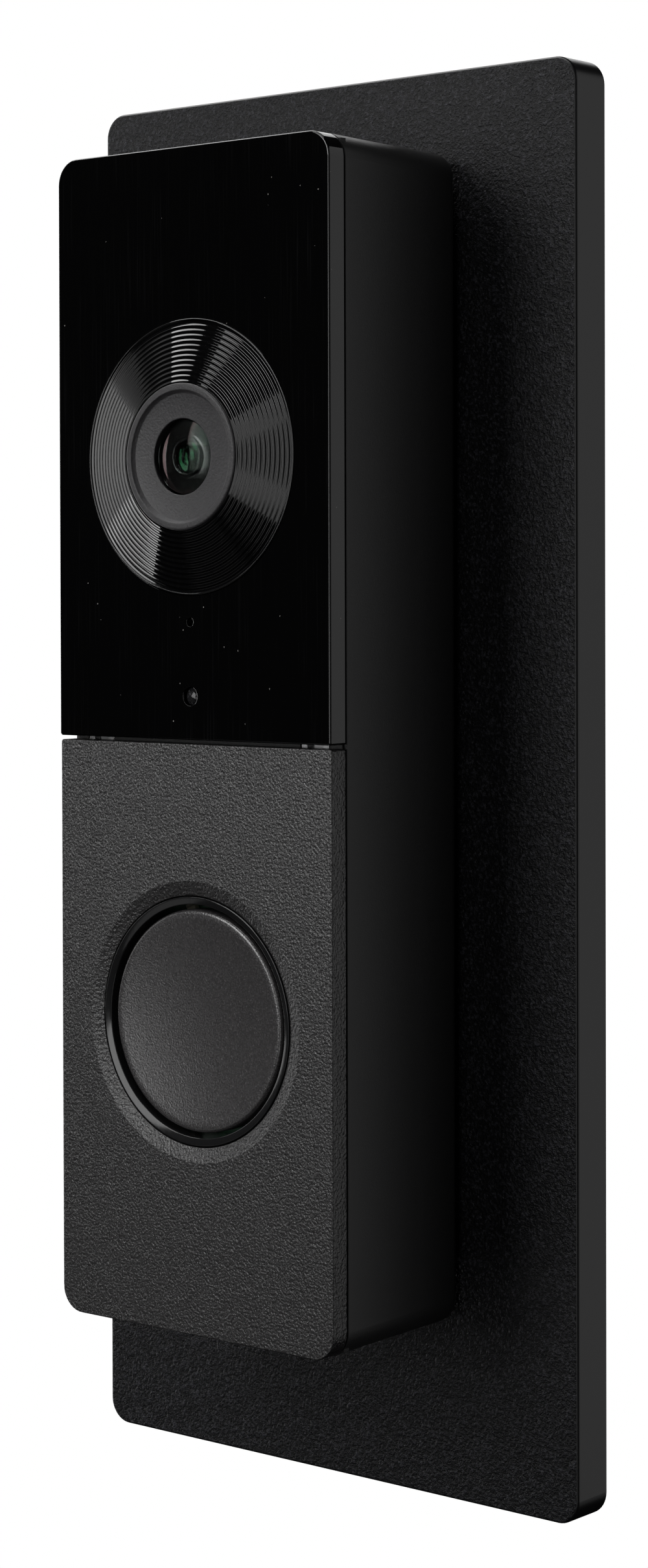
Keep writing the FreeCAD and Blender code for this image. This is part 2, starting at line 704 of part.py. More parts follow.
def make_camera_module():
    """Square holder that the barrel screws into, the sensor under it and the board behind."""
    holder_out = CAMERA_BOARD_OUT + 1.0
    base = pillow(15, 15, 3.2, 1.5, out=holder_out)
    tower = rod(7.2, 5.6, out=holder_out + 3.0)
    ears = [pillow(5.4, 5.4, 1.6, 1.2, x, up, EARS_OUT) for x, up in CAMERA_EARS]
    arms = [block(9, 3, 1.6, x * 0.6, up * 0.72, EARS_OUT) for x, up in CAMERA_EARS]
    bore = rod(5.65, 9, out=holder_out + 2.2)
    chamber = block(9, 9, 2.4, out=holder_out - 0.1)
    ear_holes = [rod(0.95, 4, x, up, EARS_OUT - 1) for x, up in CAMERA_EARS]
    stand(cut(fuse(base, tower, *ears, *arms), bore, chamber, *ear_holes), "lens_holder", up=camera_up)
    stand(pillow(18, 18, 1.0, 1.0, out=CAMERA_BOARD_OUT), "camera_board", up=camera_up)
    package = block(7, 6, 0.7, out=holder_out)
    window = block(5.2, 4.2, 0.4, out=holder_out + 0.6)
    stand(fuse(package, window), "image_sensor", up=camera_up)
    screws = [rod(1.6, 1.0, x, up, EARS_OUT - 1.0) for x, up in CAMERA_EARS]
    screws += [rod(0.7, 4.4, x, up, EARS_OUT - 0.5) for x, up in CAMERA_EARS]
    stand(fuse(*screws), "camera_screws", up=camera_up)


def make_camera_flex():
    """Flat flexible cable from the camera board down to a connector on the main board."""
    strip = block(8, 8.9, 0.2, up=-13.45, out=CAMERA_BOARD_OUT + 0.4)
    drop = block(8, 0.2, 1.0, up=-17.8, out=CAMERA_BOARD_OUT - 0.4)
    plug = pillow(9, 2.6, 0.8, 0.3, up=-17.8, out=MAIN_BOARD_OUT + board)
    stand(fuse(strip, drop, plug), "camera_flex", up=camera_up)


def make_infrared():
    """Small board with two infrared lamps behind the dark fascia."""
    level = cover_back - 1.4
    stand(pillow(19, 6, 0.8, 0.6, up=IR_UP, out=level), "ir_led_board", up=body_up)
    lamps = []
    for x in (-6.5, 6.5):
        lamps.append(block(3.2, 3.2, 0.5, x, IR_UP, level + 0.8))
        lamps.append(rod(1.2, 0.75, x, IR_UP, level + 0.8))
    stand(fuse(*lamps), "ir_leds", up=body_up)


# ---- sensors below the camera -------------------------------------------------------------------

def make_sensors():
    """Window and microphone boot that reach from the fascia's holes to a small board."""
    top = SENSOR_BOARD_OUT + 0.8
    stand(pillow(10, 14, 0.8, 0.6, up=9.0, out=SENSOR_BOARD_OUT), "sensor_board", up=body_up)
    pipe = turned("Window", [
        (0, top + 0.7), (1.3, top + 0.7), (1.3, cover_back + 0.6), (0.95, cover_back + 0.9),
        (0.95, body_front - 0.45), (0.6, body_front - 0.2), (0, body_front - 0.1)])
    stand(pipe, "sensor_window", up=body_up + size["sensor_up"])
    stand(fuse(block(2, 2, 0.35, out=top), block(1.2, 1.2, 0.5, out=top)), "light_sensor",
          up=body_up + size["sensor_up"])
    boot = turned("Boot", [(0.5, top + 1.0), (1.2, top + 1.0), (1.2, cover_back), (2.2, cover_back),
                           (2.2, cover_hollow), (0.5, cover_hollow)])
    stand(boot, "mic_boot", up=body_up + size["mic_up"])
    microphone = cut(pillow(3.5, 2.7, 1.0, 0.3, out=top), rod(0.3, 1, out=top + 0.5))
    stand(microphone, "microphone", up=body_up + size["mic_up"])


# ---- button -------------------------------------------------------------------------------------

BUTTON_POSTS = [(15.3 * math.cos(math.radians(a)), 15.3 * math.sin(math.radians(a))) for a in (30, 150, 270)]
STEM_FOOT = BUTTON_BOARD_OUT + board + 2.2
RING_LEDS = 8


def make_button_cap():
    """Shallow cup with a rounded rim, a dished face and a stem behind it that rests on the switch."""
    face = lower_front - size["button_sink"]
    radius = size["button_radius"]
    cup = turned("Button", [
        (0, STEM_FOOT), (2.0, STEM_FOOT), (2.0, face - 1.2), (radius - 1.0, face - 1.2),
        (radius - 1.0, face - 2.4), (radius, face - 2.4), (radius, face), (0, face)])
    rim_edge = lambda edge: flat(edge, face.number) and abs(edge.BoundBox.XMax - radius.number) < 1e-3
    fillet(cup, size["button_rim"], rim_edge)
    curve = cap_radius(radius - size["button_rim"] - play, size["button_dip"])
    dish = ball(curve, face - size["button_dip"] + curve)
    stand(cut(cup, dish), "button_cap", up=button_up)


def make_light_ring():
    """Tube of smoked light guide whose front slopes in towards the button."""
    front = lower_front - size["glow_sink"]
    outer, inner = size["glow_outer"], size["glow_inner"]
    ring = turned("LightRing", [
        (inner, BUTTON_BOARD_OUT + board + 1.0), (outer, BUTTON_BOARD_OUT + board + 1.0), (outer, cover_back),
        (14.7, cover_back), (14.7, cover_back + 0.7), (outer, cover_back + 0.7), (outer, front - 0.08),
        (outer - 0.08, front), (inner + 0.06, front - 0.19), (inner, front - 0.28)])
    stand(ring, "light_ring", up=button_up)


def make_button_dome():
    """Silicone spring: a foot on the board, a thin slanting web and a crown under the button."""
    foot = BUTTON_BOARD_OUT + board
    crown = lower_front - size["button_sink"] - 1.2
    web = turned("Dome", [
        (8.6, foot), (10.6, foot), (10.6, foot + 0.6), (9.2, foot + 0.6), (7.0, crown - 0.6), (7.0, crown),
        (5.0, crown), (5.0, crown - 0.6), (6.4, crown - 0.6), (8.6, foot + 0.5)])
    stand(web, "button_dome", up=button_up)


def make_switch():
    foot = BUTTON_BOARD_OUT + board
    case = cut(pillow(6.2, 6.2, 1.6, 0.5, out=foot), rod(1.65, 3, out=foot + 0.4))
    stand(case, "switch_body", up=button_up)
    plunger = turned("Plunger", [
        (0, foot + 0.95), (1.55, foot + 0.95), (1.55, STEM_FOOT - 0.15), (1.4, STEM_FOOT), (0, STEM_FOOT)])
    stand(plunger, "switch_plunger", up=button_up)


def make_button_board():
    disc = rod(13.6, board, out=BUTTON_BOARD_OUT)
    lugs = [rod(2.4, board, x, up, BUTTON_BOARD_OUT) for x, up in BUTTON_POSTS]
    holes = [rod(0.7, 4, x, up, BUTTON_BOARD_OUT - 1) for x, up in BUTTON_POSTS]
    stand(cut(fuse(disc, *lugs), *holes), "button_board", up=button_up)
    lamps = []
    for step in range(RING_LEDS):
        angle = math.radians(360 / RING_LEDS * (step + 0.5))
        x, up = 12.6 * math.cos(angle), 12.6 * math.sin(angle)
        lamps.append(block(1.2, 1.2, 0.6, x, up, BUTTON_BOARD_OUT + board))
    stand(fuse(*lamps), "ring_leds", up=button_up)


def make_button_flex():
    """Flat cable from the button board back to the power board."""
    strip = block(6, 0.2, 7.0, up=-9.9, out=BUTTON_BOARD_OUT - 7.0)
    plug = pillow(7, 2.4, 1.0, 0.3, up=-9.9, out=BUTTON_BOARD_OUT - 8.0)
    stand(fuse(strip, plug), "button_flex", up=button_up)


# ---- electronics --------------------------------------------------------------------------------

def make_main_board():
    """Board behind the camera, with notches around the housing's screw bosses and hook pockets."""
    body = pillow(32, 66, board, 1.0, up=MAIN_BOARD_UP, out=MAIN_BOARD_OUT)
    notches = [rod(2.9, 4, x, up, MAIN_BOARD_OUT - 1) for x, up in CHASSIS_SCREWS]
    notches += [rod(PILOT, 4, x, up, MAIN_BOARD_OUT - 1) for x, up in BOARD_POSTS]
    stand(cut(body, *notches), "main_board", up=body_up)
    top = MAIN_BOARD_OUT + board
    chip = pillow(9, 9, 1.0, 0.3, up=-4.0, out=top)
    stand(chip, "processor", up=body_up)
    vents = [rod(0.5, 2, x, -4.0 + up, top + 1) for x in (-4, 0, 4) for up in (-4, 0, 4)]
    hollow = pillow(17.4, 15.4, 1.7, 0.6, up=-4.0, out=top - 0.01)
    can = cut(pillow(18, 16, 2.0, 0.8, up=-4.0, out=top), hollow, *vents)
    stand(can, "shield_can", up=body_up)
    stand(pillow(14, 14, 1.0, 0.5, up=-4.0, out=MAIN_BOARD_OUT - 1.0), "thermal_pad", up=body_up)
    stand(pillow(20, 32, MAIN_BOARD_OUT - 1.0 - cavity_floor, 2.0, up=1.0, out=cavity_floor),
          "heat_spreader", up=body_up)


def make_antenna():
    """Folded strip antenna along the top of the housing."""
    spine = block(24, 0.4, 5, up=61.5, out=14)
    flag = block(24, 4.6, 0.4, up=59.4, out=18.6)
    feed = block(2.4, 0.4, 3, 8, 61.5, 11.5)
    slot = block(16, 0.5, 2, -2, 59.2, 18)
    stand(cut(fuse(spine, flag, feed), slot), "wifi_antenna", up=body_up)


def make_power_side():
    """Power board with its coil and capacitor in front and the terminal block behind."""
    notches = [rod(2.9, 4, x, up, MAIN_BOARD_OUT - 1) for x, up in CHASSIS_SCREWS]
    notches += [rod(PILOT, 4, x, up, MAIN_BOARD_OUT - 1) for x, up in BOARD_POSTS]
    body = pillow(32, 28, board, 1.0, up=POWER_BOARD_UP, out=MAIN_BOARD_OUT)
    stand(cut(body, *notches), "power_board", up=body_up)
    top = MAIN_BOARD_OUT + board
    coil = fuse(pillow(10, 10, 1.2, 2.0, COIL_X, COIL_UP, top), rod(4.2, 2.6, COIL_X, COIL_UP, top + 1.2),
                pillow(10, 10, 1.0, 2.0, COIL_X, COIL_UP, top + 3.8))
    stand(coil, "power_inductor", up=body_up)
    can = bar(3.4, 14, CAPACITOR_X, COIL_UP, top + 3.4)
    cap = bar(2.9, 1.0, CAPACITOR_X + 7.5, COIL_UP, top + 3.4)
    stand(fuse(can, cap), "backup_capacitor", up=body_up)
    block_back = body_back + 0.3
    housing = pillow(15.5, 9.5, MAIN_BOARD_OUT - block_back, 0.8, up=-size["terminal_down"], out=block_back)
    wells = [rod(2.15, 2.6, x, -size["terminal_down"], block_back - 0.1) for x in TERMINALS]
    mouths = [block(3, 3, 1.6, x, -size["terminal_down"] - 4.2, block_back - 0.1) for x in TERMINALS]
    stand(cut(housing, *wells, *mouths), "terminal_block", up=body_up)
    heads = [rod(2.0, 1.5, x, -size["terminal_down"], block_back + 0.9) for x in TERMINALS]
    slots = [block(3.6, 0.7, 0.8, x, -size["terminal_down"], block_back + 0.8) for x in TERMINALS]
    stand(cut(fuse(*heads), *slots), "terminal_screws", up=body_up)


def make_board_screws():
    """Screws that hold the main and the power board on the housing's posts."""
    top = MAIN_BOARD_OUT + board
    heads = [rod(1.5, 0.9, x, up, top) for x, up in BOARD_POSTS]
    shanks = [rod(0.7, 3.2, x, up, top - 3.0) for x, up in BOARD_POSTS]
    slots = [block(2.2, 0.5, 0.5, x, up, top + 0.5) for x, up in BOARD_POSTS]
    stand(cut(fuse(*heads, *shanks), *slots), "board_screws", up=body_up)


# ---- speaker, facing down -----------------------------------------------------------------------

def speaker_slab(wide, deep, tall, up, corner):
    """A slab of the speaker: rounded in plan, its height running up from the given level."""
    slab = block(wide, tall, deep, up=up + as_size(tall) / 2, out=SPEAKER_OUT - deep / 2)
    return rounded(slab, corner, along=Vector(0, 1, 0))


def make_speaker():
    """Mesh, gasket, frame, moving diaphragm with its coil, and the magnet, from the bottom wall up."""
    floor = -half_tall + shell
    stand(speaker_slab(18.0, 9.6, 0.2, floor, 1.5), "speaker_mesh", up=body_up)
    gasket = cut(speaker_slab(18.0, 9.6, 0.6, floor + 0.2, 1.5), speaker_slab(15.6, 7.2, 1.0, floor, 1.0))
    stand(gasket, "speaker_gasket", up=body_up)
    low = floor + 0.8
    frame = cut(speaker_slab(18.0, 9.6, 4.6, low, 1.5), speaker_slab(16.0, 7.6, 3.4, low - 0.2, 1.0),
                speaker_slab(12.4, 5.0, 3.0, low + 2.5, 0.6))
    stand(frame, "speaker_frame", up=body_up)
    surround = cut(speaker_slab(16.0, 7.6, 0.2, low + 1.0, 1.0), speaker_slab(13.6, 5.2, 1.0, low + 0.6, 0.9))
    stand(surround, "speaker_surround", up=body_up)
    crown = speaker_slab(10.0, 3.6, 0.5, low + 0.9, 0.8)
    stand(fuse(speaker_slab(13.6, 5.2, 0.2, low + 1.0, 0.9), crown), "speaker_cone", up=body_up)
    coil = cut(speaker_slab(9.6, 3.4, 1.7, low + 1.4, 0.6), speaker_slab(8.8, 2.6, 3.0, low + 1.0, 0.4))
    stand(coil, "voice_coil", up=body_up)
    magnet = fuse(speaker_slab(8.2, 2.0, 1.8, low + 2.1, 0.3), speaker_slab(12.2, 4.8, 1.1, low + 3.7, 0.5))
    stand(magnet, "speaker_magnet", up=body_up)


def check_and_write():
    """Stop at any failed object or unsound shape, then write one STEP file for each sub-part."""
    doc.recompute()
    for thing in doc.Objects:
        if {"Invalid", "Error"} & set(thing.State):
            raise ValueError(f"{thing.Name} ({thing.Label}) failed: {thing.State}")
    for part in parts:
        if part.Shape.isNull() or not part.Shape.isValid() or not part.Shape.Solids:
            raise ValueError(f"{part.Label} has no sound shape")
    os.makedirs("parts", exist_ok=True)
    for part in parts:
        part.Shape.exportStep(f"parts/{part.Label}.step")
        box = part.Shape.BoundBox
        print(f"{part.Label:18s} solids {len(part.Shape.Solids)}  volume {part.Shape.Volume:9.2f}"
              f"  x {box.XMin:7.2f} {box.XMax:7.2f}  y {box.YMin:7.2f} {box.YMax:7.2f}"
              f"  z {box.ZMin:7.2f} {box.ZMax:7.2f}")


for make in (
    make_wall_plate, make_wall_gasket, make_bracket, make_bracket_screws, make_security_screw,
    make_rear_housing, make_housing_seal, make_chassis, make_chassis_screws, make_upper_fascia,
    make_lower_cover, make_trim_ring, make_lens_bezel, make_front_lens, make_lens_stack, make_camera_module,
    make_camera_flex, make_infrared, make_sensors, make_button_cap, make_light_ring, make_button_dome,
    make_switch, make_button_board, make_button_flex, make_main_board, make_antenna, make_power_side,
    make_board_screws, make_speaker,
):
    make()
check_and_write()
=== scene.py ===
import json
import math

import bmesh
import bpy
from mathutils import Euler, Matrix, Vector


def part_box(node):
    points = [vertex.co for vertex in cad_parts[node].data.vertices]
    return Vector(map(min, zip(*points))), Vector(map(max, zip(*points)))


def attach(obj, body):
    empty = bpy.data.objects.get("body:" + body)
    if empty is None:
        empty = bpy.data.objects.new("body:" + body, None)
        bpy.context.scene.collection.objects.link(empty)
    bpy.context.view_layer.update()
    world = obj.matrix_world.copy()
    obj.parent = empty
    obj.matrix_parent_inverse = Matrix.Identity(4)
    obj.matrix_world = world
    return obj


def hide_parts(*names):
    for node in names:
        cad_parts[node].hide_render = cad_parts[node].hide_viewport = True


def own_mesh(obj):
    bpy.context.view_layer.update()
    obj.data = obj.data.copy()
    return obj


# Looks of the video doorbell: its camera and studio, a finish for every piece, and finely turned pieces
# in place of the CAD ones around the lens and the button. Profiles are (radius, out) in millimetres, with
# out measured from the wall towards the viewer.

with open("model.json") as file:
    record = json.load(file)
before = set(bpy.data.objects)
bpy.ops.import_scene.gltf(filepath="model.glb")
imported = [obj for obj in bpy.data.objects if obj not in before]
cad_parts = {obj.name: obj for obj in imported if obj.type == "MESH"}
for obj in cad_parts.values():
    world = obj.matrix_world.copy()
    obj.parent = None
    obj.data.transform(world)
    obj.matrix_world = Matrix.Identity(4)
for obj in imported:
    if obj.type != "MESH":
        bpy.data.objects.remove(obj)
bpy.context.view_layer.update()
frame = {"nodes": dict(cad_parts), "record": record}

MM = 0.001
SEGMENTS = 192  # steps round a turned piece


# ---- camera and studio --------------------------------------------------------------------------

def make_camera():
    """Camera to the right of the doorbell, at about its middle height."""
    data = bpy.data.cameras.new("Camera")
    data.sensor_width = 36.0
    data.lens = 72.39
    data.shift_y = -0.0968
    data.clip_start, data.clip_end = 0.01, 20.0
    camera = bpy.data.objects.new("Camera", data)
    camera.location = (0.2328, -0.28218, 0.02262)
    camera.rotation_euler = Euler([math.radians(a) for a in (89.125, 0.161, 40.128)])
    bpy.context.scene.collection.objects.link(camera)
    bpy.context.scene.camera = camera


def aim(azimuth, elevation, distance, centre):
    """Place seen from centre in a direction: azimuth 0 is in front, 90 on the right."""
    a, e = math.radians(azimuth), math.radians(elevation)
    way = Vector((math.sin(a) * math.cos(e), -math.cos(a) * math.cos(e), math.sin(e)))
    return centre + way * distance


def softbox(name, azimuth, elevation, distance, wide, tall, radiance):
    """Rectangular soft light facing the doorbell, its width and height as angles seen from there."""
    light = bpy.data.lights.new(name, "AREA")
    light.shape = "RECTANGLE"
    light.size = 2 * distance * math.tan(math.radians(wide / 2))
    light.size_y = 2 * distance * math.tan(math.radians(tall / 2))
    light.energy = radiance * math.pi * light.size * light.size_y
    holder = bpy.data.objects.new(name, light)
    centre = Vector((0, -0.02, 0))
    holder.location = aim(azimuth, elevation, distance, centre)
    holder.rotation_euler = (centre - holder.location).to_track_quat("-Z", "Y").to_euler()
    holder.visible_camera = False
    bpy.context.scene.collection.objects.link(holder)


def split_by_ray(tree, pale, dim, output):
    """Show a pale shader to the camera, and a dim one to reflections and bounced light."""
    ray = tree.nodes.new("ShaderNodeLightPath")
    mix = tree.nodes.new("ShaderNodeMixShader")
    tree.links.new(ray.outputs["Is Camera Ray"], mix.inputs[0])
    tree.links.new(dim.outputs[0], mix.inputs[1])
    tree.links.new(pale.outputs[0], mix.inputs[2])
    tree.links.new(mix.outputs[0], output.inputs[0])


def make_world():
    """White to the eye, dim to everything else, so that black gloss mirrors a dark room."""
    world = bpy.data.worlds.new("Studio")
    bpy.context.scene.world = world
    world.use_nodes = True
    nodes = world.node_tree.nodes
    pale, dim = nodes.new("ShaderNodeBackground"), nodes["Background"]
    pale.inputs["Color"].default_value = (1, 1, 1, 1)
    dim.inputs["Color"].default_value = (0.012, 0.012, 0.012, 1)
    split_by_ray(world.node_tree, pale, dim, nodes["World Output"])


def make_floor():
    """Plain pale floor far below the doorbell, which hangs on a wall."""
    bpy.ops.mesh.primitive_plane_add(size=6, location=(0, 0, -1.2))
    floor = bpy.context.object
    floor.name = "studio_floor"
    material = bpy.data.materials.new("studio_floor")
    material.use_nodes = True
    nodes = material.node_tree.nodes
    nodes.clear()
    pale, matt = nodes.new("ShaderNodeEmission"), nodes.new("ShaderNodeBsdfDiffuse")
    matt.inputs["Color"].default_value = (0.03, 0.03, 0.03, 1)
    split_by_ray(material.node_tree, pale, matt, nodes.new("ShaderNodeOutputMaterial"))
    floor.data.materials.append(material)


def make_studio():
    """Boxes on the left, panels in front and overhead, and boxes on the right and behind for the sides."""
    bpy.context.scene.view_settings.view_transform = "Standard"
    make_world()
    make_floor()
    softbox("key_left", -100, -4, 0.80, 30, 46, 3.6)
    softbox("ring_strip", -73, 8, 0.80, 12, 34, 1.7)
    softbox("upper_left", -80, 38, 0.70, 32, 26, 0.3)
    softbox("top_left", -88, 58, 0.50, 30, 30, 4.5)
    softbox("top_front", -10, 70, 0.50, 30, 22, 2.8)
    softbox("panel_high", -23, 26, 0.50, 24, 20, 5.6)
    softbox("panel_low", -21, 5, 0.80, 22, 24, 3.3)
    softbox("front_right", 21, 2, 0.90, 14, 64, 1.2)
    softbox("front_low", -34, -30, 0.80, 26, 16, 0.35)
    softbox("side_right", 106, 4, 0.80, 26, 60, 0.55)
    softbox("back_right", 138, 4, 0.80, 36, 60, 0.5)
    softbox("back_left", 215, 30, 0.90, 32, 32, 1.5)


# ---- turned pieces ------------------------------------------------------------------------------

def span(node):
    """A round node's outer radius, and its back and front levels."""
    low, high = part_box(node)
    return (high[0] - low[0]) / 2 / MM, -high[1] / MM, -low[1] / MM


def arc(radius_at, out_at, size, start, end, steps=8):
    """Points of a profile along an arc, its angles in degrees from straight outwards."""
    angles = [math.radians(start + (end - start) * i / steps) for i in range(steps + 1)]
    return [(radius_at + size * math.cos(a), out_at + size * math.sin(a)) for a in angles]


def ring_of(shape, centre, radius, out):
    """One ring of vertices, or a single one on the axis."""
    if radius == 0:
        return [shape.verts.new((centre[0], -out * MM, centre[1]))]
    turns = [math.tau * i / SEGMENTS for i in range(SEGMENTS)]
    return [shape.verts.new((centre[0] + radius * MM * math.cos(a), -out * MM,
                             centre[1] + radius * MM * math.sin(a))) for a in turns]


def lathe(node, body, profile, sharp=35):
    """A piece turned about a CAD node's viewing axis from a closed profile, which stands for that node."""
    low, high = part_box(node)
    centre = ((low[0] + high[0]) / 2, (low[2] + high[2]) / 2)
    shape = bmesh.new()
    rings = [ring_of(shape, centre, radius, out) for radius, out in profile]
    for first, second in zip(rings, rings[1:] + rings[:1]):
        for i in range(SEGMENTS):
            corners = [first[i % len(first)], first[(i + 1) % SEGMENTS % len(first)],
                       second[(i + 1) % SEGMENTS % len(second)], second[i % len(second)]]
            distinct = list(dict.fromkeys(corners))
            if len(distinct) > 2:
                shape.faces.new(distinct).smooth = True
    bmesh.ops.recalc_face_normals(shape, faces=shape.faces)
    mesh = bpy.data.meshes.new(node + "_turned")
    shape.to_mesh(mesh)
    shape.free()
    mesh.set_sharp_from_angle(angle=math.radians(sharp))
    piece = bpy.data.objects.new(node + "_turned", mesh)
    bpy.context.scene.collection.objects.link(piece)
    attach(piece, body)
    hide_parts(node)
    return piece


def make_trim_ring():
    """Gloss cone with rounded ridges and a bead along its outer edge."""
    outer, foot, crest = span("camera_trim_ring")
    front = span("upper_fascia")[2]
    gap, bead = 0.08, 0.13
    ridges, deep, steps = 12, 0.115, 14
    pointed = 0.96  # shape of a ridge, from 0 for a sine wave to 1 for a zigzag
    inner = span("lens_bezel")[0] + gap
    start = outer - 2 * bead
    profile = [(inner, foot), (outer, foot)] + arc(outer - bead, front, bead, 0, 180, 10)
    for step in range(1, ridges * steps):
        share = step / steps
        wave = math.asin(pointed * math.cos(math.tau * share)) / math.asin(pointed)
        surface = front + (crest - front) * share / ridges
        profile.append((start - (start - inner) * share / ridges, surface - deep * (1 - wave) / 2))
    profile.append((inner, crest))
    return lathe("camera_trim_ring", "doorbell", profile, sharp=60)


def make_lens_bezel():
    """Matt ring: a rounded lip, a step down, a flat face and the lens hole with softened edges."""
    outer, foot, lip = span("lens_bezel")
    lip_round, step_round, hole_round = 0.32, 0.15, 0.12
    skirt, face, flat = outer - 0.87, outer - 1.17, lip - 0.44
    hole = 4.15
    seat, back = hole + 0.35, flat - 1.2
    profile = [(skirt, foot), (outer, foot)] + arc(outer - lip_round, lip - lip_round, lip_round, 0, 90)
    profile += arc(face + 0.45, lip - step_round, step_round, 90, 140, 5)
    profile += [(face + 0.06, flat + 0.02), (face, flat)]
    profile += arc(hole + hole_round, flat - hole_round, hole_round, 90, 180)
    profile += [(seat, flat - 0.9), (seat, back), (skirt, back)]
    return lathe("lens_bezel", "doorbell", profile)


def shell_profile(radius, rise, thick, edge):
    """Profile of a domed lens of one thickness, its edge at a level."""
    steps = 20
    curve = (radius * radius + rise * rise) / (2 * rise)
    radii = [radius * i / steps for i in range(steps + 1)]
    front = [(r, edge + math.sqrt(curve * curve - r * r) - curve + rise) for r in radii]
    return front + [(r, out - thick) for r, out in reversed(front)]


def make_lenses():
    """Domed front lens, the black retainer with its rounded rim, and the inner lens behind it."""
    radius, foot, top = span("front_lens")
    thick = 0.4
    profile = shell_profile(radius, top - foot - thick, thick, foot + thick)
    front = lathe("front_lens", "doorbell", profile)
    outer, back, rim = span("lens_retainer")
    opening, bead, floor = 1.75, 0.18, rim - 0.27
    profile = [(opening, back), (outer, back), (outer, floor), (2.5, floor), (2.2, rim - 0.2)]
    profile += arc(opening + bead, rim - bead, bead, 30, 180)
    retainer = lathe("lens_retainer", "doorbell", profile, sharp=50)
    outer, back, rim = span("rear_lens")
    bead = 0.1
    profile = [(0, rim - 0.1), (0.5, rim - 0.16), (0.85, rim - 0.28)]
    profile += arc(0.98, rim - bead, bead, 180, 40, 6)
    profile += [(outer, rim - 0.2), (outer, back), (0, back)]
    inner = lathe("rear_lens", "doorbell", profile, sharp=50)
    return front, retainer, inner


def make_light_ring():
    """Smoked tube whose front band slopes in towards the button."""
    flange, foot, front = span("light_ring")
    outer, inner = flange - 1.05, flange - 1.9
    ledge = span("lower_cover")[1]
    shelf = ledge + 0.7
    drop, edge = 0.2, 0.12
    profile = [(inner, foot), (outer, foot), (outer, ledge), (flange, ledge), (flange, shelf)]
    profile += [(outer, shelf)] + arc(outer - edge, front - edge, edge, 0, 100)
    profile += arc(inner + edge, front - drop - edge, edge, 100, 180)
    return lathe("light_ring", "doorbell", profile)


def make_button():
    """Button cap: a cup with a stem, a softly rounded rim and a dished face."""
    radius, foot, rim_level = span("button_cap")
    rim, dip, stem, wall, steps = 0.5, 0.6, 2.0, 1, 24
    inside, skirt, reach = rim_level - 1.2, rim_level - 2.4, radius - rim
    profile = [(0, foot), (stem, foot), (stem, inside), (radius - wall, inside)]
    profile += [(radius - wall, skirt), (radius, skirt)]
    profile += arc(reach, rim_level - rim, rim, 0, 84, 12)
    shares = [1 - i / steps for i in range(1, steps + 1)]
    profile += [(reach * share, rim_level - dip * (1 - share ** 2)) for share in shares]
    return lathe("button_cap", "button", profile)


def make_dome():
    """Silicone spring whose crown sits just under the button."""
    radius, foot, crown = span("button_dome")
    travel, play, thick = 0.4, 0.02, 0.6
    opening, crown_outer, crown_inner = 8.6, 7.0, 5.0
    top, under = crown - play, crown - thick
    profile = [(opening, foot), (radius, foot), (radius, foot + thick), (9.2, foot + thick)]
    profile += [(crown_outer, under), (crown_outer, top), (crown_inner, top), (crown_inner, under)]
    profile += [(6.4, under), (opening, foot + 0.5)]
    dome = lathe("button_dome", "doorbell", profile)
    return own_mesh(dome)


# ---- finishes -----------------------------------------------------------------------------------

